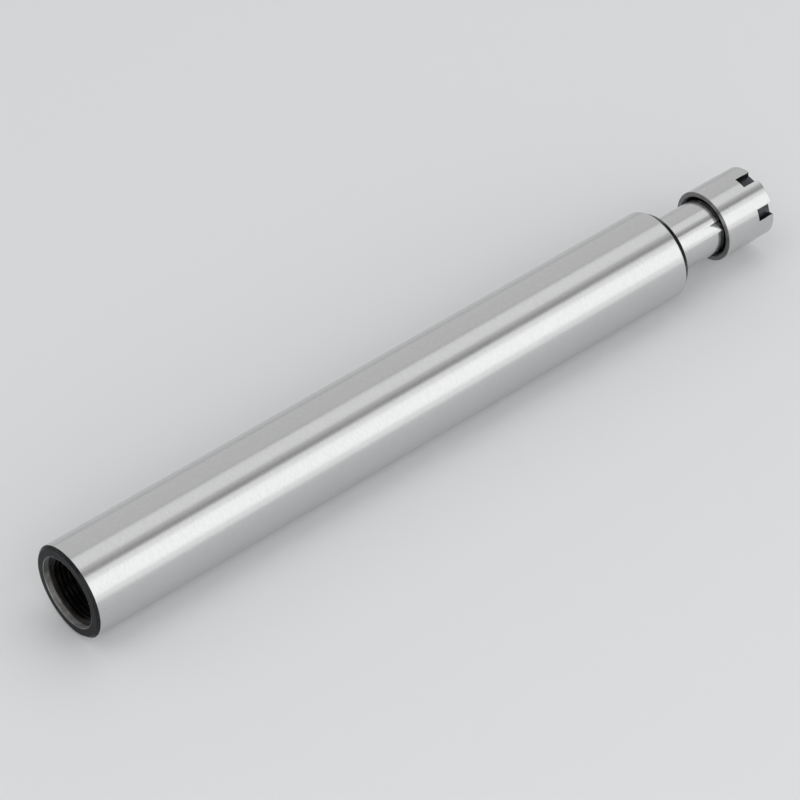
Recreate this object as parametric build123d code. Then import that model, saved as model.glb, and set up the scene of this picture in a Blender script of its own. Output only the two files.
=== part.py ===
# Straight shank collet chuck: a ground steel shank with a short nose, the slotted collet
# that sits in the taper of the nose, and the castellated nut that screws onto the nose.
# Millimetres, +Z up. The turning axis is X and points to the nut; the origin is on the
# axis, half-way along the shank. The chuck lies on its shank.

from build123d import *
import math
import os

os.makedirs("parts", exist_ok=True)

# Shank and neck
SHANK_D = 20.0
SHANK_LENGTH = 154.0
REAR_CHAMFER = 0.6
FRONT_CHAMFER_LENGTH = 1.65
FRONT_CHAMFER_DEPTH = 1.2
NECK_D = 12.4
NECK_LENGTH = 12.8

# Clamping nut
NUT_D = 16.0
NUT_LENGTH = 13.2
NUT_EDGE_CHAMFER = 0.2
NUT_FRONT_OPENING_D = 9.6
NUT_LEAD = 0.5
NOTCH_COUNT = 6
NOTCH_WIDTH = 2.7
NOTCH_LENGTH = 4.2
NOTCH_DEPTH = 1.4
NOTCH_PHASE = 8.5

# Thread of the nose and the nut, drawn as plain cylinders at its outer diameter
THREAD_D = 13.0
THREAD_CLEARANCE = 0.05
THREAD_LENGTH = 6.5
NOSE_SETBACK = 5.1

# Collet: a flange with a 30 degree face, a groove, and an 8 degree taper to the rear
COLLET_LENGTH = 18.0
COLLET_HEAD_D = 11.5
COLLET_TAPER = 8.0
COLLET_REAR_CHAMFER = 0.4
FLANGE_FRONT_D = 9.1
FLANGE_ANGLE = 30.0
FLANGE_CONE_LENGTH = 1.5
FLANGE_LENGTH = 2.0
GROOVE_D = 9.5
GROOVE_WIDTH = 1.5
COLLET_BORE_D = 6.0
COLLET_GRIP_LENGTH = 12.0
COLLET_RELIEF = 0.3
SLOT_WIDTH = 0.6
SLOT_PAIRS = 4
FRONT_SLOT_END = 15.0
REAR_SLOT_END = 5.0
COLLET_SETBACK = 0.2
SEAT_CLEARANCE = 0.04

# Extraction ring inside the nut: an off-centre hole whose near side reaches into the groove
RING_OFFSET = 0.4
RING_CLEARANCE = 0.13
RING_SIDE_GAP = 0.15
HEAD_ROOM = 0.35

# Bores of the chuck body
THROUGH_BORE_D = 7.4
REAR_THREAD_BORE_D = 12.9
REAR_THREAD_END = 32.0
REAR_RECESS_D = 15.4
REAR_RECESS_DEPTH = 1.2
DRILL_ANGLE = 59.0

# Stations along the axis
REAR_FACE = -SHANK_LENGTH / 2
SHOULDER = REAR_FACE + SHANK_LENGTH
NUT_REAR = SHOULDER + NECK_LENGTH
FRONT_FACE = NUT_REAR + NUT_LENGTH
NOSE_FACE = FRONT_FACE - NOSE_SETBACK
COLLET_FRONT = FRONT_FACE - COLLET_SETBACK


def slope(angle):
    return math.tan(math.radians(angle))


def turned(profile):
    # A solid of revolution about X from (station, radius) corners
    outline = make_face(Polyline(*profile, close=True))
    return revolve(outline, Axis.X, 360)


def around_axis(shape, angle):
    return Rot(X=angle) * shape


# Collet stations: flange, groove, head and taper
flange_front_r = FLANGE_FRONT_D / 2
flange_r = flange_front_r + FLANGE_CONE_LENGTH * slope(FLANGE_ANGLE)
flange_cone_end = COLLET_FRONT - FLANGE_CONE_LENGTH
groove_front = COLLET_FRONT - FLANGE_LENGTH
collet_head = groove_front - GROOVE_WIDTH
collet_rear = COLLET_FRONT - COLLET_LENGTH
head_r = COLLET_HEAD_D / 2


def taper_radius(station):
    return head_r - (collet_head - station) * slope(COLLET_TAPER)


# Collet
collet_bore_r = COLLET_BORE_D / 2
grip_end = COLLET_FRONT - COLLET_GRIP_LENGTH
collet_profile = [
    (COLLET_FRONT, collet_bore_r),
    (COLLET_FRONT, flange_front_r),
    (flange_cone_end, flange_r),
    (groove_front, flange_r),
    (groove_front, GROOVE_D / 2),
    (collet_head, GROOVE_D / 2),
    (collet_head, head_r),
    (collet_rear + COLLET_REAR_CHAMFER, taper_radius(collet_rear + COLLET_REAR_CHAMFER)),
    (collet_rear, taper_radius(collet_rear) - COLLET_REAR_CHAMFER),
    (collet_rear, collet_bore_r + COLLET_RELIEF),
    (grip_end, collet_bore_r + COLLET_RELIEF),
    (grip_end, collet_bore_r),
]
collet = turned(collet_profile)


def radial_slot(start, end):
    # One sawn slot through one wall of the collet, between two stations
    middle = Pos((start + end) / 2, 0, head_r / 2 + 1)
    return middle * Box(abs(end - start), SLOT_WIDTH, head_r + 2)


slot_step = 360 / SLOT_PAIRS
front_slot = radial_slot(COLLET_FRONT + 1, COLLET_FRONT - FRONT_SLOT_END)
rear_slot = radial_slot(collet_rear - 1, COLLET_FRONT - REAR_SLOT_END)
for i in range(SLOT_PAIRS):
    collet -= around_axis(front_slot, i * slot_step)
    collet -= around_axis(rear_slot, (i + 0.5) * slot_step)

# Chuck body: outside of shank, neck and nose
shank_r = SHANK_D / 2
neck_r = NECK_D / 2
nose_r = THREAD_D / 2 - THREAD_CLEARANCE
thread_start = NOSE_FACE - THREAD_LENGTH
thread_step = nose_r - neck_r
mouth_r = taper_radius(NOSE_FACE) + SEAT_CLEARANCE
through_r = THROUGH_BORE_D / 2
taper_end = collet_head - (head_r + SEAT_CLEARANCE - through_r) / slope(COLLET_TAPER)
rear_bore_r = REAR_THREAD_BORE_D / 2
drill_tip = REAR_FACE + REAR_THREAD_END + (rear_bore_r - through_r) / slope(DRILL_ANGLE)
recess_r = REAR_RECESS_D / 2
recess_end = REAR_FACE + REAR_RECESS_DEPTH
body_profile = [
    (REAR_FACE, recess_r),
    (REAR_FACE, shank_r - REAR_CHAMFER),
    (REAR_FACE + REAR_CHAMFER, shank_r),
    (SHOULDER - FRONT_CHAMFER_LENGTH, shank_r),
    (SHOULDER, shank_r - FRONT_CHAMFER_DEPTH),
    (SHOULDER, neck_r),
    (thread_start, neck_r),
    (thread_start + thread_step, nose_r),
    (NOSE_FACE - thread_step, nose_r),
    (NOSE_FACE, neck_r),
    (NOSE_FACE, mouth_r),
    (taper_end, through_r),
    (drill_tip, through_r),
    (REAR_FACE + REAR_THREAD_END, rear_bore_r),
    (recess_end, rear_bore_r),
    (recess_end, recess_r),
]
# The seam of the turned faces lies on top, along +Z
chuck_body = around_axis(turned(body_profile), 90)

# Clamping nut: thread bore, room for the collet head, ring zone, seat cone and opening
nut_r = NUT_D / 2
thread_bore_r = THREAD_D / 2
opening_r = NUT_FRONT_OPENING_D / 2
ring_front = groove_front - RING_SIDE_GAP
ring_rear = collet_head + RING_SIDE_GAP
head_room_r = head_r + HEAD_ROOM
head_room_start = ring_rear - 0.7
seat_r = flange_r + SEAT_CLEARANCE
seat_front = flange_cone_end + (seat_r - opening_r) / slope(FLANGE_ANGLE)
ring_r = flange_r + RING_CLEARANCE
nut_profile = [
    (NUT_REAR, thread_bore_r + NUT_LEAD),
    (NUT_REAR, nut_r - NUT_EDGE_CHAMFER),
    (NUT_REAR + NUT_EDGE_CHAMFER, nut_r),
    (FRONT_FACE - NUT_EDGE_CHAMFER, nut_r),
    (FRONT_FACE, nut_r - NUT_EDGE_CHAMFER),
    (FRONT_FACE, opening_r),
    (seat_front, opening_r),
    (flange_cone_end, seat_r),
    (ring_front, seat_r),
    (ring_front, ring_r - RING_OFFSET),
    (ring_rear, ring_r - RING_OFFSET),
    (ring_rear, head_room_r),
    (head_room_start, head_room_r),
    (head_room_start, thread_bore_r),
    (NUT_REAR + NUT_LEAD, thread_bore_r),
]
clamping_nut = turned(nut_profile)
ring_hole = Pos((ring_front + ring_rear) / 2, 0, -RING_OFFSET)
clamping_nut -= ring_hole * Rot(Y=90) * Cylinder(ring_r, ring_front - ring_rear)

notch_height = NOTCH_DEPTH + 1
notch = Pos(FRONT_FACE - NOTCH_LENGTH / 2 + 0.5, 0, nut_r - NOTCH_DEPTH + notch_height / 2)
notch = notch * Box(NOTCH_LENGTH + 1, NOTCH_WIDTH, notch_height)
for i in range(NOTCH_COUNT):
    clamping_nut -= around_axis(notch, NOTCH_PHASE + i * 360 / NOTCH_COUNT)

for name, shape in {
    "chuck_body": chuck_body,
    "collet": collet,
    "clamping_nut": clamping_nut,
}.items():
    export_step(shape, f"parts/{name}.step")
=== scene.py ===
import logging
import math
from dataclasses import dataclass, field
from enum import Enum
from typing import Callable, Optional, Sequence, Union

import bmesh
import bpy
from mathutils import Matrix, Vector


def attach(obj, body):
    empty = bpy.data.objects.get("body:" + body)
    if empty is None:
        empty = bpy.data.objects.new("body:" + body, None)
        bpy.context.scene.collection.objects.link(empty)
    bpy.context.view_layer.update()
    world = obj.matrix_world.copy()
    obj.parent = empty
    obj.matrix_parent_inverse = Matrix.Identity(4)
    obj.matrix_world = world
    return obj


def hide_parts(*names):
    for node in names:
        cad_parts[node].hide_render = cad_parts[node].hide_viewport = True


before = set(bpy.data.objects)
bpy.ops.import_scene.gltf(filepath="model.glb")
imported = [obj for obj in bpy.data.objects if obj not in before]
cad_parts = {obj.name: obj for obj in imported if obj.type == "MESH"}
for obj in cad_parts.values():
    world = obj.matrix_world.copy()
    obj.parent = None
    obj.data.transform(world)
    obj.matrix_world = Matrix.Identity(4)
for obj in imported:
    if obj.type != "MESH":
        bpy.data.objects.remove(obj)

MM = 0.001
TURN = 2 * math.pi
SHARP_ANGLE = math.radians(32)
MERGE_DISTANCE = 1e-7
SHORTEST_EDGE = 1e-8
LOG = logging.getLogger("collet_chuck")

Link = Union["Socket", float, tuple]
Radius = Callable[[float], float]
Point = tuple[float, float, float]


# Shader maths


class Socket:
    """A shader output; arithmetic on it adds Math nodes."""

    def __init__(self, graph: "Graph", link: bpy.types.NodeSocket) -> None:
        """Keeps the output and the graph that owns it.

        Args:
            graph: The material graph.
            link: The node output.
        """
        self.graph = graph
        self.link = link

    def math(self, operation: str, first: Link, second: Link = 0.0,
             clamp: bool = False) -> "Socket":
        """Adds one Math node.

        Args:
            operation: Blender's name of the operation.
            first: The first value.
            second: The second value, where the operation takes one.
            clamp: Whether the result stays between 0 and 1.

        Returns:
            The node's value.
        """
        settings = {"operation": operation, "use_clamp": clamp}
        return self.graph.node("ShaderNodeMath", settings, {0: first, 1: second})

    def __add__(self, other: Link) -> "Socket":
        """self + other."""
        return self.math("ADD", self, other)

    def __radd__(self, other: Link) -> "Socket":
        """other + self."""
        return self.math("ADD", other, self)

    def __sub__(self, other: Link) -> "Socket":
        """self - other."""
        return self.math("SUBTRACT", self, other)

    def __rsub__(self, other: Link) -> "Socket":
        """other - self."""
        return self.math("SUBTRACT", other, self)

    def __mul__(self, other: Link) -> "Socket":
        """self * other."""
        return self.math("MULTIPLY", self, other)

    def __rmul__(self, other: Link) -> "Socket":
        """other * self."""
        return self.math("MULTIPLY", other, self)

    def clamped(self) -> "Socket":
        """The value, kept between 0 and 1."""
        return self.math("ADD", self, 0.0, clamp=True)


class Graph:
    """The node graph of one material."""

    def __init__(self, name: str) -> None:
        """Makes an empty material.

        Args:
            name: The material's name.
        """
        self.material = bpy.data.materials.new(name)
        self.material.use_nodes = True
        self.tree = self.material.node_tree
        self.tree.nodes.clear()

    def node(self, kind: str, settings: Optional[dict] = None, values: Optional[dict] = None,
             output: Union[int, str] = 0) -> Socket:
        """Adds one node, sets it up and connects it.

        Args:
            kind: The node's type.
            settings: Properties to set before the sockets; "stops" fills a ramp.
            values: Socket index, name or identifier to a link, number or tuple.
            output: Index or identifier of the output to return.

        Returns:
            The chosen output.
        """
        made = self.tree.nodes.new(kind)
        for key, value in (settings or {}).items():
            if key == "stops":
                self._fill_ramp(made.color_ramp, value)
            else:
                setattr(made, key, value)
        for key, value in (values or {}).items():
            socket = self._find(made.inputs, key)
            if isinstance(value, Socket):
                self.tree.links.new(value.link, socket)
            else:
                socket.default_value = value
        return Socket(self, self._find(made.outputs, output))

    @staticmethod
    def _find(sockets: bpy.types.bpy_prop_collection, key: Union[int, str]) -> bpy.types.NodeSocket:
        """The socket with this index, identifier or name."""
        if isinstance(key, int):
            return sockets[key]
        for socket in sockets:
            if socket.identifier == key:
                return socket
        return sockets[key]

    @staticmethod
    def _fill_ramp(ramp: bpy.types.ColorRamp, stops: Sequence[tuple[float, float]]) -> None:
        """Fills a ramp with grey stops of (position, level)."""
        while len(ramp.elements) < len(stops):
            ramp.elements.new(0.5)
        for element, (position, level) in zip(ramp.elements, stops):
            element.position = position
            element.color = (level, level, level, 1.0)

    def place(self) -> Socket:
        """The point on the piece, in its own metres."""
        return self.node("ShaderNodeTexCoord", output="Object")

    def stretched(self, point: Socket, scale: tuple[float, float, float]) -> Socket:
        """The point with each axis scaled by its own factor."""
        return self.node("ShaderNodeVectorMath", {"operation": "MULTIPLY"}, {0: point, 1: scale})

    def turned(self, point: Socket, fine: float, soft: float) -> Socket:
        """Coordinates in which noise runs in rings round X, on cylinders, cones and end faces.

        Args:
            point: The point on the piece.
            fine: Rings per metre, along the axis and along the radius.
            soft: How fast a ring changes on its way round.

        Returns:
            The vector for a noise.
        """
        radius = self.node("ShaderNodeVectorMath", {"operation": "LENGTH"},
                           {0: self.stretched(point, (0.0, 1.0, 1.0))}, output="Value")
        split = self.node("ShaderNodeSeparateXYZ", None, {0: point}).link.node.outputs
        x, y, z = (Socket(self, output) for output in split)
        return self.node("ShaderNodeCombineXYZ", None,
                         {0: (x + radius) * fine, 1: y * soft, 2: z * soft})

    def noise(self, point: Socket, scale: float = 1.0, detail: float = 2.0,
              rough: float = 0.5) -> Socket:
        """Fractal noise from 0 to 1 at a point.

        Args:
            point: Where it is read.
            scale: Cells per unit of the point.
            detail: How many finer layers are added.
            rough: How strong the finer layers are.

        Returns:
            The noise value.
        """
        return self.node("ShaderNodeTexNoise", {"noise_dimensions": "3D"},
                         {"Vector": point, "Scale": scale, "Detail": detail, "Roughness": rough})

    def ramp(self, value: Socket, stops: Sequence[tuple[float, float]]) -> Socket:
        """A value mapped through grey stops."""
        return self.node("ShaderNodeValToRGB", {"stops": stops}, {"Fac": value})

    def mix(self, share: Link, first: Link, second: Link) -> Socket:
        """A colour between two others."""
        return self.node("ShaderNodeMix", {"data_type": "RGBA"},
                         {"Factor_Float": share, "A_Color": first, "B_Color": second},
                         output="Result_Color")

    def bump(self, height: Socket, depth: float, strength: float = 1.0) -> Socket:
        """A normal from a height field whose full range is depth, in metres."""
        return self.node("ShaderNodeBump", None,
                         {"Height": height, "Distance": depth, "Strength": strength})

    def surface(self, values: dict) -> bpy.types.Material:
        """Ends the graph in a Principled shader.

        Args:
            values: Socket values and links of the shader.

        Returns:
            The finished material.
        """
        shader = self.node("ShaderNodeBsdfPrincipled", None, values)
        self.node_output(shader)
        return self.material

    def node_output(self, shader: Socket) -> None:
        """Connects a shader to the material's surface."""
        end = self.tree.nodes.new("ShaderNodeOutputMaterial")
        self.tree.links.new(shader.link, end.inputs["Surface"])


def grey(level: float, warmth: float = 0.0) -> tuple[float, float, float, float]:
    """A near-neutral colour, warmer above 0 and cooler below."""
    return (level * (1 + warmth), level, level * (1 - warmth), 1.0)


# Finishes


@dataclass(frozen=True)
class GroundSteel:
    """Steel ground between centres: fine rings round the axis and a soft mirror."""

    name: str = "ground_steel"
    level: float = 0.60
    roughness: float = 0.19
    ring_scale: float = 9000.0
    ring_depth: float = 0.8e-6
    grain_scale: float = 5200.0
    cloud_scale: float = 38.0
    smear_scale: tuple[float, float, float] = (60.0, 210.0, 210.0)
    speck_scale: float = 1500.0
    speck_limits: tuple[float, float] = (0.785, 0.815)
    speck_level: float = 0.30

    def material(self) -> bpy.types.Material:
        """Builds the material."""
        g = Graph(self.name)
        point = g.place()
        rings = g.noise(g.turned(point, self.ring_scale, 260.0), detail=3.0, rough=0.6)
        grain = g.noise(g.turned(point, self.grain_scale, 1100.0), detail=2.0, rough=0.6)
        cloud = g.noise(point, scale=self.cloud_scale, detail=3.0)
        smear = g.noise(g.stretched(point, self.smear_scale), detail=4.0, rough=0.55)
        specks = g.noise(g.stretched(point, (self.speck_scale,) * 3), detail=1.0)
        clear, full = self.speck_limits
        dust = g.ramp(specks, ((0.0, 0.0), (clear, 0.0), (full, 1.0), (1.0, 1.0)))
        tone = 0.90 + (rings - 0.5) * 0.10 + (grain - 0.5) * 0.26 + (cloud - 0.5) * 0.05
        dull, bright = grey(self.level * 0.35, 0.01), grey(self.level * 1.02, -0.004)
        shade = g.mix(tone.clamped(), dull, bright)
        colour = g.mix(dust * 0.35, shade, grey(self.speck_level, 0.02))
        rough = self.roughness + (smear - 0.5) * 0.07 + (rings - 0.5) * 0.06 + dust * 0.2
        normal = g.bump(rings * 0.7 + grain * 0.3, self.ring_depth)
        return g.surface({"Base Color": colour, "Metallic": 1.0, "Roughness": rough.clamped(),
                          "Normal": normal})


@dataclass(frozen=True)
class BlackOxide:
    """Blued or black-oxide steel: dark, slightly glossy, with faint turning marks."""

    name: str = "black_oxide"
    level: float = 0.026
    roughness: float = 0.27
    warmth: float = -0.06
    bright: float = 0.058
    edge_tint: float = 0.6
    spread_scale: float = 420.0
    fine_scale: float = 3600.0
    mark_scale: float = 7000.0
    mark_depth: float = 1.2e-6

    def material(self) -> bpy.types.Material:
        """Builds the material."""
        g = Graph(self.name)
        point = g.place()
        spread = g.noise(point, scale=self.spread_scale, detail=4.0, rough=0.6)
        fine = g.noise(point, scale=self.fine_scale, detail=2.0)
        marks = g.noise(g.turned(point, self.mark_scale, 300.0), detail=2.0)
        share = ((spread - 0.42) * 1.6 + (fine - 0.5) * 0.5).clamped()
        colour = g.mix(share, grey(self.level, self.warmth), grey(self.bright, self.warmth))
        rough = self.roughness + (spread - 0.5) * 0.25 + (fine - 0.5) * 0.12
        normal = g.bump(fine * 0.5 + marks * 0.5, self.mark_depth)
        return g.surface({"Base Color": colour, "Metallic": 0.85, "Roughness": rough.clamped(),
                          "Specular Tint": grey(self.edge_tint), "Normal": normal})


@dataclass(frozen=True)
class TurnedSteel:
    """Turned steel with tool marks, stained by oil and heat treatment; a very low level paints
    shade instead, as in the bore.
    """

    name: str = "turned_steel"
    level: float = 0.42
    stain: float = 0.10
    warmth: float = 0.06
    roughness: float = 0.30
    mark_scale: float = 5200.0
    mark_depth: float = 2.0e-6
    spot_scale: float = 700.0

    def material(self) -> bpy.types.Material:
        """Builds the material."""
        g = Graph(self.name)
        point = g.place()
        marks = g.noise(g.turned(point, self.mark_scale, 160.0), detail=3.0, rough=0.65)
        spots = g.noise(point, scale=self.spot_scale, detail=4.0, rough=0.6)
        share = ((spots - 0.40) * 2.4 + (marks - 0.5) * 0.6).clamped()
        colour = g.mix(share, grey(self.stain, self.warmth * 2.0), grey(self.level, self.warmth))
        rough = self.roughness + (marks - 0.5) * 0.18 + (spots - 0.5) * 0.2
        normal = g.bump(marks, self.mark_depth)
        return g.surface({"Base Color": colour, "Metallic": 1.0, "Roughness": rough.clamped(),
                          "Normal": normal})


class Coat(Enum):
    """The finishes of the chuck, as (slot number, maker of the material)."""

    GROUND = (0, GroundSteel())
    OXIDE = (1, BlackOxide())
    RECESS = (2, TurnedSteel("recess_steel", 0.80, 0.46, 0.01, 0.50, mark_scale=4200.0,
                             mark_depth=2.5e-5))
    # Near-black level: painted shade for the inside of the bore and the rear thread, not the
    # steel's own colour.
    BORE = (3, TurnedSteel("bore_painted_shade", 0.028, 0.010, 0.06, 0.46))
    THREAD = (4, TurnedSteel("thread_steel", 0.22, 0.06, 0.02, 0.32))
    COLLET = (5, GroundSteel("collet_steel", 0.56, 0.22, ring_scale=7000.0, ring_depth=0.4e-6))
    RIM = (6, TurnedSteel("rim_steel", 0.28, 0.20, 0.0, 0.20, mark_scale=7000.0,
                          mark_depth=0.8e-6))
    NOTCH = (7, TurnedSteel("notch_steel", 0.15, 0.07, -0.04, 0.34))

    @property
    def slot(self) -> int:
        """The material slot number."""
        return self.value[0]


# Meshes


class Skin:
    """Vertices and faces of one piece, gathered before the mesh is made."""

    def __init__(self) -> None:
        """Starts empty."""
        self.points: list[Point] = []
        self.faces: list[tuple[int, ...]] = []
        self.slots: list[int] = []

    def point(self, x: float, y: float, z: float) -> int:
        """Adds a vertex in millimetres and returns its number."""
        self.points.append((x * MM, y * MM, z * MM))
        return len(self.points) - 1

    def face(self, corners: Sequence[int], coat: Coat) -> None:
        """Adds a face with a finish."""
        self.faces.append(tuple(corners))
        self.slots.append(coat.slot)

    def piece(self, name: str, finishes: dict[int, bpy.types.Material]) -> bpy.types.Object:
        """Makes the mesh object.

        Args:
            name: The object's name.
            finishes: Material by slot number.

        Returns:
            The object, smooth apart from its sharp edges.
        """
        used = sorted(set(self.slots))
        mesh = bpy.data.meshes.new(name)
        mesh.from_pydata(self.points, [], self.faces)
        for number in used:
            mesh.materials.append(finishes[number])
        mesh.polygons.foreach_set("material_index", [used.index(s) for s in self.slots])
        mesh.validate()
        self._turn_outward(mesh)
        mesh.polygons.foreach_set("use_smooth", [True] * len(mesh.polygons))
        mesh.set_sharp_from_angle(angle=SHARP_ANGLE)
        mesh.update()
        made = bpy.data.objects.new(name, mesh)
        bpy.context.scene.collection.objects.link(made)
        return made

    @staticmethod
    def _turn_outward(mesh: bpy.types.Mesh) -> None:
        """Merges doubled vertices and makes all faces point out of the solid."""
        shell = bmesh.new()
        shell.from_mesh(mesh)
        bmesh.ops.remove_doubles(shell, verts=shell.verts, dist=MERGE_DISTANCE)
        bmesh.ops.dissolve_degenerate(shell, edges=shell.edges, dist=SHORTEST_EDGE)
        bmesh.ops.recalc_face_normals(shell, faces=shell.faces)
        shell.to_mesh(mesh)
        shell.free()


@dataclass(frozen=True)
class Row:
    """One ring of a turned skin: its station, radius, and the finish up to the next ring."""

    x: float
    r: float
    coat: Coat
    shape: Optional[Radius] = None

    def radius(self, angle: float) -> float:
        """The radius at an angle round the axis."""
        return self.shape(angle) if self.shape else self.r


@dataclass(frozen=True)
class Corner:
    """A corner of a turned profile; the finish is that of the run that leaves it."""

    x: float
    r: float
    coat: Coat
    edge: float = 0.0
    edge_coat: Optional[Coat] = None


def rounded(corners: Sequence[Corner], support: float = 0.04) -> list[Row]:
    """Turns profile corners into rings, with a small round and a support ring at each edge.

    Args:
        corners: The corners in order; the first and the last stay sharp.
        support: Distance of the support ring from the round, in millimetres.

    Returns:
        The rings in order.
    """
    rows: list[Row] = []
    for i, c in enumerate(corners):
        if not c.edge or i in (0, len(corners) - 1):
            rows.append(Row(c.x, c.r, c.coat))
            continue
        before, after = corners[i - 1], corners[i + 1]
        here = Vector((c.x, c.r))
        back = Vector((before.x, before.r)) - here
        ahead = Vector((after.x, after.r)) - here
        start = here + back.normalized() * c.edge
        end = here + ahead.normalized() * c.edge
        round_coat = c.edge_coat or c.coat
        if back.length > 3 * (c.edge + support):
            early = here + back.normalized() * (c.edge + support)
            rows.append(Row(early.x, early.y, before.coat))
        rows.append(Row(start.x, start.y, round_coat))
        middle = (start + end) * 0.25 + here * 0.5
        rows.append(Row(middle.x, middle.y, round_coat))
        rows.append(Row(end.x, end.y, c.coat))
        if ahead.length > 3 * (c.edge + support):
            late = here + ahead.normalized() * (c.edge + support)
            rows.append(Row(late.x, late.y, c.coat))
    return rows


@dataclass(frozen=True)
class Thread:
    """A right-hand 60 degree thread about X, as the surface that both halves share.

    The crest ends and the root starts at shares of half a pitch from the crest's middle.
    """

    pitch: float
    major: float
    minor: float
    crest_end: float = 0.125
    root_start: float = 0.8125

    def radius(self, x: float, angle: float) -> float:
        """The radius of the shared surface at a station and an angle."""
        turns = (x / self.pitch - angle / TURN) % 1.0
        away = abs(turns - 0.5) * 2
        flank = self.root_start - self.crest_end
        rise = min(max((self.root_start - away) / flank, 0.0), 1.0)
        return self.minor + (self.major - self.minor) * rise

    def rows(self, start: float, end: float, coat: Coat, limit: Callable[[float, float], float],
             steps: int = 12) -> list[Row]:
        """Rings of the thread between two stations.

        Args:
            start: First station.
            end: Last station.
            coat: The finish.
            limit: Takes a station and the thread's radius and gives the radius to use.
            steps: Rings in one pitch.

        Returns:
            The rings, from start to end.
        """
        count = max(2, round(abs(end - start) / self.pitch * steps))
        made = []
        for i in range(count + 1):
            x = start + (end - start) * i / count
            made.append(Row(x, 0.0, coat, lambda a, x=x: limit(x, self.radius(x, a))))
        return made


def turned_skin(rows: Sequence[Row], columns: int) -> Skin:
    """Sweeps closed rings round the axis.

    Args:
        rows: The rings; the last joins the first.
        columns: Steps round the axis.

    Returns:
        The skin.
    """
    skin = Skin()
    grid = []
    for row in rows:
        ring = []
        for j in range(columns):
            angle = TURN * j / columns
            r = row.radius(angle)
            ring.append(skin.point(row.x, -r * math.sin(angle), r * math.cos(angle)))
        grid.append(ring)
    for i, row in enumerate(rows):
        ring, following = grid[i], grid[(i + 1) % len(rows)]
        for j in range(columns):
            k = (j + 1) % columns
            skin.face((ring[j], following[j], following[k], ring[k]), row.coat)
    return skin


# Sizes that the pieces share


@dataclass(frozen=True)
class Layout:
    """Stations along the axis and sizes that pieces share, in millimetres."""

    rear: float = -77.0
    shoulder: float = 77.0
    nut_rear: float = 89.8
    front: float = 103.0
    nose_face: float = 97.9
    thread_start: float = 91.4
    collet_front: float = 102.8
    groove_front: float = 100.8
    collet_head: float = 99.3
    head_r: float = 5.75
    taper: float = math.radians(8.0)
    seat_gap: float = 0.04
    nose_thread: Thread = field(default_factory=lambda: Thread(0.75, 6.5, 6.09))
    rear_thread: Thread = field(default_factory=lambda: Thread(1.0, 7.0, 6.45))

    def taper_radius(self, x: float) -> float:
        """The collet's taper radius at a station."""
        return self.head_r - (self.collet_head - x) * math.tan(self.taper)


@dataclass
class ChuckBody:
    """Shank, neck and nose, turned from one bar."""

    layout: Layout
    shank_r: float = 9.982
    neck_r: float = 6.2
    nose_r: float = 6.45
    nose_face_r: float = 6.0
    rear_chamfer: float = 0.6
    front_chamfer: float = 1.2
    front_run: float = 1.65
    recess_r: float = 7.7
    recess_depth: float = 1.2
    bore_r: float = 3.7
    thread_depth: float = 32.0
    shown_turns: float = 18.0
    columns: int = 256
    edge: float = 0.06

    def rows(self) -> list[Row]:
        """The rings of the whole piece, outside from rear to front and back through the bore."""
        l = self.layout
        rows = rounded(self._outside())
        rows += self._nose_thread()
        rows += rounded(self._inside())
        rows += self._rear_thread()
        return rows

    def _outside(self) -> list[Corner]:
        """Corners from the recess over the shank to the neck."""
        l, e = self.layout, self.edge
        recess_end = l.rear + self.recess_depth
        return [
            Corner(recess_end, self.recess_r, Coat.RECESS),
            Corner(l.rear, self.recess_r, Coat.OXIDE, e, Coat.RECESS),
            Corner(l.rear, self.shank_r - self.rear_chamfer, Coat.OXIDE, e),
            Corner(l.rear + self.rear_chamfer, self.shank_r, Coat.GROUND, e),
            Corner(l.shoulder - self.front_run, self.shank_r, Coat.OXIDE, 0.12, Coat.GROUND),
            Corner(l.shoulder, self.shank_r - self.front_chamfer, Coat.OXIDE, e),
            Corner(l.shoulder, self.neck_r, Coat.GROUND, 0.15, Coat.OXIDE),
            Corner(l.thread_start, self.neck_r, Coat.THREAD),
        ]

    def _nose_thread(self) -> list[Row]:
        """Rings of the male thread, run out at both ends."""
        l = self.layout
        start, end = l.thread_start, l.nose_face

        def limit(x: float, r: float) -> float:
            lead = min(self.neck_r + x - start, self.nose_face_r + end - x)
            return min(r - 0.04, lead, self.nose_r)

        return l.nose_thread.rows(start + 0.05, end - 0.05, Coat.THREAD, limit)

    def _inside(self) -> list[Corner]:
        """Corners from the nose face through the taper and the bore to the rear thread."""
        l = self.layout
        mouth_r = l.taper_radius(l.nose_face) + l.seat_gap
        taper_end = l.collet_head - (l.head_r + l.seat_gap - self.bore_r) / math.tan(l.taper)
        thread_r = l.rear_thread.minor
        thread_end = l.rear + self.thread_depth
        drill_tip = thread_end + (thread_r - self.bore_r) / math.tan(math.radians(59.0))
        return [
            Corner(l.nose_face, self.nose_face_r, Coat.THREAD),
            Corner(l.nose_face, mouth_r, Coat.GROUND, 0.04),
            # The bore and the rear thread take the near-black finish that paints the shade inside
            # them.
            Corner(taper_end, self.bore_r, Coat.BORE),
            Corner(drill_tip, self.bore_r, Coat.BORE),
            Corner(thread_end, thread_r, Coat.BORE),
        ]

    def _rear_thread(self) -> list[Row]:
        """Rings of the female thread in the rear bore, up to the recess."""
        l = self.layout
        end = l.rear + self.recess_depth
        start = end + self.shown_turns * l.rear_thread.pitch

        def limit(x: float, r: float) -> float:
            fade = min(max((start - x) / 1.0, 0.0), 1.0)
            lead = l.rear_thread.minor + max(0.0, 0.45 - (x - end))
            return max(l.rear_thread.minor + (r - l.rear_thread.minor) * fade, lead)

        # The thread takes the near-black finish that paints the shade inside the bore.
        return l.rear_thread.rows(start, end + 0.02, Coat.BORE, limit)

    def build(self, finishes: dict[int, bpy.types.Material]) -> bpy.types.Object:
        """Builds the piece and hangs it on its body."""
        made = turned_skin(self.rows(), self.columns).piece("shank_and_nose", finishes)
        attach(made, "body")
        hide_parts("chuck_body")
        return made


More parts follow.
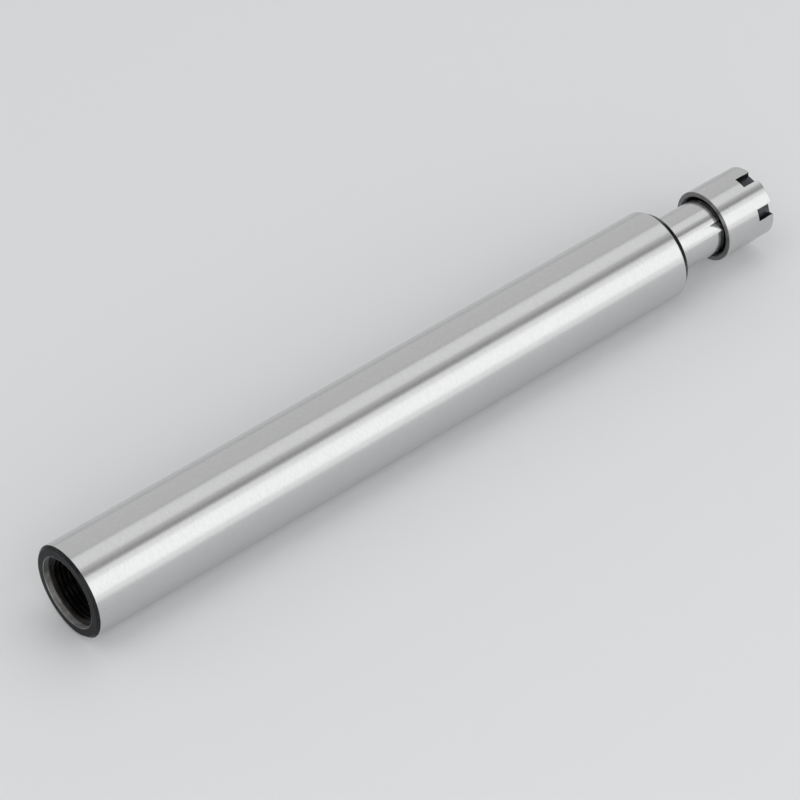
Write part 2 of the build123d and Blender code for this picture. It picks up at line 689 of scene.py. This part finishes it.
@dataclass(frozen=True)
class Column:
    """One meridian of the nut: angles outside and inside, and its distance off a notch's middle."""

    outside: float
    inside: float
    middle: float
    offset: Optional[float] = None
    notch: bool = False
    wall: bool = False


@dataclass
class ClampingNut:
    """Slim castellated nut with an internal thread, an extraction ring and a 30 degree seat."""

    layout: Layout
    outer_r: float = 8.0
    edge: float = 0.2
    rear_edge: float = 0.14
    opening_r: float = 4.8
    seat_r: float = 5.456
    seat_back: float = 101.3
    ring_r: float = 5.546
    ring_offset: float = 0.4
    head_room_r: float = 6.1
    lead: float = 0.5
    notches: int = 6
    notch_width: float = 2.7
    notch_length: float = 4.2
    notch_floor: float = 6.6
    phase: float = 8.5
    burr: float = 0.05
    corner: float = 0.32

    def columns(self) -> list[Column]:
        """The meridians, with doubled ones at the notch walls."""
        made: list[Column] = []
        half = self.notch_width / 2
        eases = [self.corner * share for share in (0.08, 0.24, 0.5, 1.0, 1.25)]
        for n in range(self.notches):
            middle = math.radians(self.phase) + TURN * n / self.notches
            for i in range(9):
                made.append(self._locked(middle, self.notch_width * (i / 8 - 0.5), notch=True))
            made.append(self._locked(middle, half, wall=True))
            made += [self._locked(middle, half + ease) for ease in eases]
            step = TURN / self.notches
            first, last = made[-1], self._locked(middle + step, -half - eases[-1])
            for i in range(1, 18):
                t = i / 18
                made.append(Column(first.outside + (last.outside - first.outside) * t,
                                   first.inside + (last.inside - first.inside) * t, middle))
            made += [self._locked(middle + step, -half - ease) for ease in reversed(eases)]
            made.append(self._locked(middle + step, -half, wall=True))
        return made

    def _locked(self, middle: float, y: float, notch: bool = False, wall: bool = False) -> Column:
        """A meridian that keeps its distance y from the middle plane of a notch."""
        outside = middle + math.asin(y / self.outer_r)
        inside = middle + math.atan2(y, self.notch_floor)
        return Column(outside, inside, middle, y, notch, wall)

    def _setback(self, column: Column) -> float:
        """How far a tooth's rounded corner lies behind the front face at a meridian."""
        if column.offset is None or column.notch:
            return 0.0
        left = self.corner - (abs(column.offset) - self.notch_width / 2)
        if left <= 0.0:
            return 0.0
        return self.corner - math.sqrt(max(self.corner ** 2 - left ** 2, 0.0))

    def ring_radius(self, angle: float) -> float:
        """Radius of the off-centre ring hole, whose centre lies below the axis."""
        sunk = self.ring_offset
        along = -sunk * math.cos(angle)
        return along + math.sqrt(self.ring_r ** 2 - (sunk * math.sin(angle)) ** 2)

    def _front_rows(self) -> list[tuple[tuple[float, float], tuple[float, float], Coat, Coat]]:
        """Ring pairs from rear rim to front face: (tooth x, r), (notch x, r), their finishes."""
        l, e, b = self.layout, self.edge, self.burr
        root, r, floor = l.front - self.notch_length, self.outer_r, self.notch_floor
        front, rear = l.front, self.rear_edge
        ground, oxide, notch = Coat.GROUND, Coat.OXIDE, Coat.NOTCH
        return [
            ((l.nut_rear, r - rear), (l.nut_rear, r - rear), Coat.RIM, Coat.RIM),
            ((l.nut_rear + rear, r), (l.nut_rear + rear, r), ground, ground),
            ((l.nut_rear + rear + 0.04, r), (l.nut_rear + rear + 0.04, r), ground, ground),
            ((root - b - 0.04, r), (root - b - 0.04, r), ground, ground),
            ((root - b, r), (root - b, r), ground, ground),
            ((root, r), (root, r - b), ground, oxide),
            ((root + 0.2, r), (root, floor + 0.12), ground, notch),
            ((root + 0.4, r), (root + 0.04, floor + 0.04), ground, notch),
            ((root + 0.6, r), (root + 0.12, floor), ground, notch),
            ((front - e - 0.10, r), (front - b - 0.04, floor), ground, notch),
            ((front - e - 0.04, r), (front - b - 0.02, floor), ground, notch),
            ((front - e, r), (front - b, floor), ground, oxide),
            ((front, r - e), (front, floor - b), oxide, oxide),
            ((front, r - e - 0.04), (front, floor - b - 0.01), oxide, oxide),
            ((front, floor + 0.03), (front, floor - b - 0.02), oxide, oxide),
        ]

    def _inner_rows(self) -> list[Row]:
        """Rings from the front face through the bore to the rear face."""
        l = self.layout
        head_start = l.collet_head + 0.15 - 0.7
        ring_front, ring_rear = l.groove_front - 0.15, l.collet_head + 0.15
        seat_front = self.seat_back + (self.seat_r - self.opening_r) / math.tan(math.radians(30))
        rows = [
            Row(l.front, self.notch_floor - self.burr - 0.06, Coat.OXIDE),
            Row(l.front, self.opening_r + 0.12, Coat.RECESS),
            Row(l.front - 0.08, self.opening_r, Coat.RECESS),
            Row(seat_front, self.opening_r, Coat.GROUND),
            Row(self.seat_back, self.seat_r, Coat.OXIDE),
            Row(ring_front, self.seat_r, Coat.OXIDE),
            Row(ring_front - 0.02, 0.0, Coat.OXIDE, self.ring_radius),
            Row(ring_rear + 0.02, 0.0, Coat.OXIDE, self.ring_radius),
            Row(ring_rear, self.head_room_r, Coat.OXIDE),
            Row(head_start, self.head_room_r, Coat.OXIDE),
        ]

        def limit(x: float, r: float) -> float:
            lead = l.nose_thread.major + self.lead - (x - l.nut_rear)
            relief = l.nose_thread.major - 3.0 * (head_start - x)
            runout = l.nose_thread.major - 1.5 * max(0.0, x - l.thread_start)
            return max(r, lead, relief, runout)

        rows += l.nose_thread.rows(head_start - 0.02, l.nut_rear + 0.02, Coat.THREAD, limit, 10)
        rows.append(Row(l.nut_rear, l.nose_thread.major + self.lead, Coat.RIM))
        return rows

    def _spot(self, column: Column, x: float, r: float, on_floor: bool, outer: bool) -> Point:
        """The place of one vertex, in millimetres."""
        if not outer:
            return (x, -r * math.sin(column.inside), r * math.cos(column.inside))
        if column.offset is None:
            return (x, -r * math.sin(column.outside), r * math.cos(column.outside))
        y = column.offset
        z = r if on_floor else math.sqrt(max(r * r - y * y, 0.0))
        c, s = math.cos(column.middle), math.sin(column.middle)
        return (x, -(y * c + z * s), z * c - y * s)

    def skin(self) -> Skin:
        """Builds the skin of the nut."""
        skin = Skin()
        columns, fronts, inners = self.columns(), self._front_rows(), self._inner_rows()
        b = self.burr
        grid: list[list[int]] = []
        coats: list[list[Coat]] = []
        for column in columns:
            line, finish = [], []
            for number, (tooth, notch, tooth_coat, notch_coat) in enumerate(fronts):
                x, r = notch if column.notch else tooth
                on_floor = column.notch and number >= 6
                if column.wall and 5 <= number <= 11:
                    r = r - b
                if number >= 9:
                    x = x - self._setback(column)
                line.append(skin.point(*self._spot(column, x, r, on_floor, True)))
                finish.append(notch_coat if column.notch else tooth_coat)
            for row in inners:
                r = row.radius(column.inside)
                line.append(skin.point(*self._spot(column, row.x, r, False, False)))
                finish.append(row.coat)
            grid.append(line)
            coats.append(finish)
        count = len(fronts) + len(inners)
        for j, column in enumerate(columns):
            k = (j + 1) % len(columns)
            other = columns[k]
            crosses_wall = column.notch != other.notch
            for i in range(count):
                n = (i + 1) % count
                quad = (grid[j][i], grid[j][n], grid[k][n], grid[k][i])
                coat = coats[j][i]
                if crosses_wall and 4 <= i < len(fronts):
                    coat = Coat.OXIDE
                skin.face(quad, coat)
        return skin

    def build(self, finishes: dict[int, bpy.types.Material]) -> bpy.types.Object:
        """Builds the piece and hangs it on its body."""
        made = self.skin().piece("castellated_nut", finishes)
        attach(made, "nut")
        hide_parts("clamping_nut")
        return made


@dataclass
class Collet:
    """Spring collet with slots sawn in turn from the front and from the rear."""

    layout: Layout
    length: float = 18.0
    bore_r: float = 3.0
    relief: float = 0.3
    grip: float = 12.0
    flange_front_r: float = 4.55
    flange_cone: float = 1.5
    groove_r: float = 4.75
    slot_width: float = 0.6
    slot_pairs: int = 4
    front_slot_end: float = 15.0
    rear_slot_end: float = 5.0

    def stations(self) -> list[tuple[float, float, float]]:
        """Stations from front to rear as (x, outside radius, inside radius)."""
        l = self.layout
        front, rear = l.collet_front, l.collet_front - self.length
        flange_r = self.flange_front_r + self.flange_cone * math.tan(math.radians(30))
        groove, head = l.groove_front, l.collet_head
        relief_r = self.bore_r + self.relief
        marks = {
            front: (self.flange_front_r - 0.08, self.bore_r + 0.12),
            front - 0.10: (self.flange_front_r + 0.05, self.bore_r),
            front - self.flange_cone + 0.05: (flange_r - 0.03, self.bore_r),
            front - self.flange_cone - 0.05: (flange_r, self.bore_r),
            groove + 0.06: (flange_r, self.bore_r),
            groove: (flange_r - 0.06, self.bore_r),
            groove - 0.02: (self.groove_r, self.bore_r),
            head + 0.02: (self.groove_r, self.bore_r),
            head: (l.head_r - 0.08, self.bore_r),
            head - 0.08: (l.taper_radius(head - 0.08), self.bore_r),
            rear + 0.4: (l.taper_radius(rear + 0.4), relief_r),
            rear: (l.taper_radius(rear) - 0.4, relief_r),
        }
        for x in (front - self.rear_slot_end, front - self.front_slot_end):
            marks[x] = (l.taper_radius(x), self.bore_r if x > front - self.grip else relief_r)
        marks[front - self.grip] = (l.taper_radius(front - self.grip), self.bore_r)
        marks[front - self.grip - 0.3] = (l.taper_radius(front - self.grip - 0.3), relief_r)
        return [(x, *marks[x]) for x in sorted(marks, reverse=True)]

    def columns(self) -> list[tuple[float, float, int, bool]]:
        """Meridians as (middle angle, offset from it, slot number, whether it opens a slot).

        The offset is a distance in millimetres at a slot's two sides, and an angle elsewhere.
        """
        made = []
        count = 2 * self.slot_pairs
        half = self.slot_width / 2
        for n in range(count):
            middle = TURN * n / count
            made.append((middle, -half, n, True))
            made.append((middle, half, n, False))
            margin = math.asin(half / 3.0)
            for i in range(1, 16):
                angle = margin + (TURN / count - 2 * margin) * i / 16
                made.append((middle + angle, 0.0, -1, False))
        return made

    def skin(self) -> Skin:
        """Builds the skin of the collet."""
        skin = Skin()
        stations, columns = self.stations(), self.columns()
        front = self.layout.collet_front
        outer, inner = [], []
        for middle, offset, number, _ in columns:
            c, s = math.cos(middle), math.sin(middle)
            lines: tuple[list[int], list[int]] = ([], [])
            for x, r_out, r_in in stations:
                for line, r in zip(lines, (r_out, r_in)):
                    z = math.sqrt(r * r - offset * offset)
                    line.append(skin.point(x, -(offset * c + z * s), z * c - offset * s))
            outer.append(lines[0])
            inner.append(lines[1])
        last = len(stations) - 1
        for j, (middle, offset, number, opens) in enumerate(columns):
            k = (j + 1) % len(columns)
            open_rows = self._open_rows(stations, front, number) if opens else range(0, 0)
            for i in range(last):
                if i in open_rows:
                    for side in (j, k):
                        skin.face((outer[side][i], outer[side][i + 1],
                                   inner[side][i + 1], inner[side][i]), Coat.THREAD)
                    continue
                skin.face((outer[j][i], outer[j][i + 1], outer[k][i + 1], outer[k][i]), Coat.COLLET)
                skin.face((inner[j][i], inner[k][i], inner[k][i + 1], inner[j][i + 1]), Coat.COLLET)
            for end, cell in ((0, 0), (last, last - 1)):
                if cell not in open_rows:
                    skin.face((outer[j][end], outer[k][end], inner[k][end], inner[j][end]),
                              Coat.COLLET)
            if open_rows:
                stop = open_rows.stop if open_rows.start == 0 else open_rows.start
                skin.face((outer[j][stop], outer[k][stop], inner[k][stop], inner[j][stop]),
                          Coat.THREAD)
        return skin

    def _open_rows(self, stations: Sequence[tuple[float, float, float]], front: float,
                   number: int) -> range:
        """The station steps that a slot runs through."""
        xs = [round(station[0], 4) for station in stations]
        if number % 2 == 0:
            return range(0, xs.index(round(front - self.front_slot_end, 4)))
        return range(xs.index(round(front - self.rear_slot_end, 4)), len(xs) - 1)

    def build(self, finishes: dict[int, bpy.types.Material]) -> bpy.types.Object:
        """Builds the piece and hangs it on its body."""
        made = self.skin().piece("spring_collet", finishes)
        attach(made, "collet")
        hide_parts("collet")
        return made


# Stage, lamps and camera


@dataclass(frozen=True)
class Lamp:
    """A rectangular soft box that looks at the chuck."""

    name: str
    tilt: float
    span: float
    level: float
    distance: float = 0.75
    length: float = 2.2
    shift: float = 0.15
    turn: float = 0.0

    def build(self) -> None:
        """Places the lamp round the axis, tilt degrees from straight up towards the viewer."""
        width = 2 * self.distance * math.tan(math.radians(self.span) / 2)
        data = bpy.data.lights.new(self.name, "AREA")
        data.shape = "RECTANGLE"
        data.size = self.length
        data.size_y = width
        data.energy = self.level * math.pi * width * self.length
        made = bpy.data.objects.new(self.name, data)
        angle, turn = math.radians(self.tilt), math.radians(self.turn)
        upright = Vector((0.0, -math.sin(angle), math.cos(angle)))
        axis = Vector((1.0, 0.0, 0.0))
        outward = upright * math.cos(turn) - axis * math.sin(turn)
        along = axis * math.cos(turn) + upright * math.sin(turn)
        made.location = outward * self.distance + axis * self.shift
        sideways = outward.cross(along)
        made.matrix_world = Matrix((
            (*self._row(along, sideways, outward, 0), made.location.x),
            (*self._row(along, sideways, outward, 1), made.location.y),
            (*self._row(along, sideways, outward, 2), made.location.z),
            (0.0, 0.0, 0.0, 1.0),
        ))
        bpy.context.scene.collection.objects.link(made)

    @staticmethod
    def _row(along: Vector, sideways: Vector, outward: Vector, i: int) -> Point:
        """Row i of the matrix whose columns are the lamp's three axes."""
        return (along[i], sideways[i], outward[i])


@dataclass
class Studio:
    """Pale floor, soft boxes, world and the camera."""

    floor_height: float = -0.010
    floor_size: float = 6.0
    floor_level: float = 0.78
    world_level: float = 0.37
    camera_place: Point = (-0.319873, -0.386425, 0.473896)
    camera_azimuth: float = -40.10801
    camera_elevation: float = 43.14796
    lens: float = 155.0704
    lamps: tuple[Lamp, ...] = (
        Lamp("back_panel", -58.0, 61.0, 0.38),
        Lamp("top_panel", -4.0, 46.0, 0.26),
        Lamp("top_middle", -6.0, 32.0, 0.42, 0.74),
        Lamp("front_panel", 61.25, 63.5, 0.80),
        Lamp("front_middle", 60.0, 34.0, 0.34, 0.74),
        Lamp("end_panel", 42.0, 26.0, 0.80, 1.1, 0.5, 0.0, 68.0),
    )

    def build(self) -> None:
        """Builds everything that isn't the object."""
        self._floor()
        self._world()
        for lamp in self.lamps:
            lamp.build()
        self._camera()

    def _floor(self) -> None:
        """A wide pale sheet under the chuck."""
        half, z = self.floor_size / 2, self.floor_height
        mesh = bpy.data.meshes.new("floor")
        corners = [(-half, -half, z), (half, -half, z), (half, half, z), (-half, half, z)]
        mesh.from_pydata(corners, [], [(0, 1, 2, 3)])
        g = Graph("pale_floor")
        cloud = g.noise(g.place(), scale=1.2, detail=2.0)
        colour = g.mix(cloud, grey(self.floor_level * 0.97, -0.01), grey(self.floor_level, -0.01))
        mesh.materials.append(g.surface({"Base Color": colour, "Roughness": 0.62}))
        made = bpy.data.objects.new("floor", mesh)
        bpy.context.scene.collection.objects.link(made)

    def _world(self) -> None:
        """Even light from all sides."""
        world = bpy.data.worlds.new("room")
        world.use_nodes = True
        back = world.node_tree.nodes["Background"]
        back.inputs["Color"].default_value = grey(self.world_level)
        back.inputs["Strength"].default_value = 1.0
        bpy.context.scene.world = world

    def _camera(self) -> None:
        """The camera at the photograph's viewing angle."""
        data = bpy.data.cameras.new("camera")
        data.sensor_width = 36.0
        data.lens = self.lens
        data.clip_start, data.clip_end = 0.01, 20.0
        made = bpy.data.objects.new("camera", data)
        made.location = self.camera_place
        a, e = math.radians(self.camera_azimuth), math.radians(self.camera_elevation)
        back = Vector((math.sin(a) * math.cos(e), -math.cos(a) * math.cos(e), math.sin(e)))
        made.rotation_mode = "QUATERNION"
        made.rotation_quaternion = (-back).to_track_quat("-Z", "Y")
        bpy.context.scene.collection.objects.link(made)
        bpy.context.scene.camera = made


def main() -> None:
    """Builds the pieces in order, then the studio."""
    logging.basicConfig(level=logging.INFO, format="%(name)s: %(message)s")
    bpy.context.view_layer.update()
    bpy.context.scene.view_settings.view_transform = "Standard"
    finishes = {coat.slot: coat.value[1].material() for coat in Coat}
    layout = Layout()
    for part in (ChuckBody(layout), ClampingNut(layout), Collet(layout)):
        made = part.build(finishes)
        LOG.info("%s: %d faces", made.name, len(made.data.polygons))
    Studio().build()


if __name__ == "__main__":
    main()
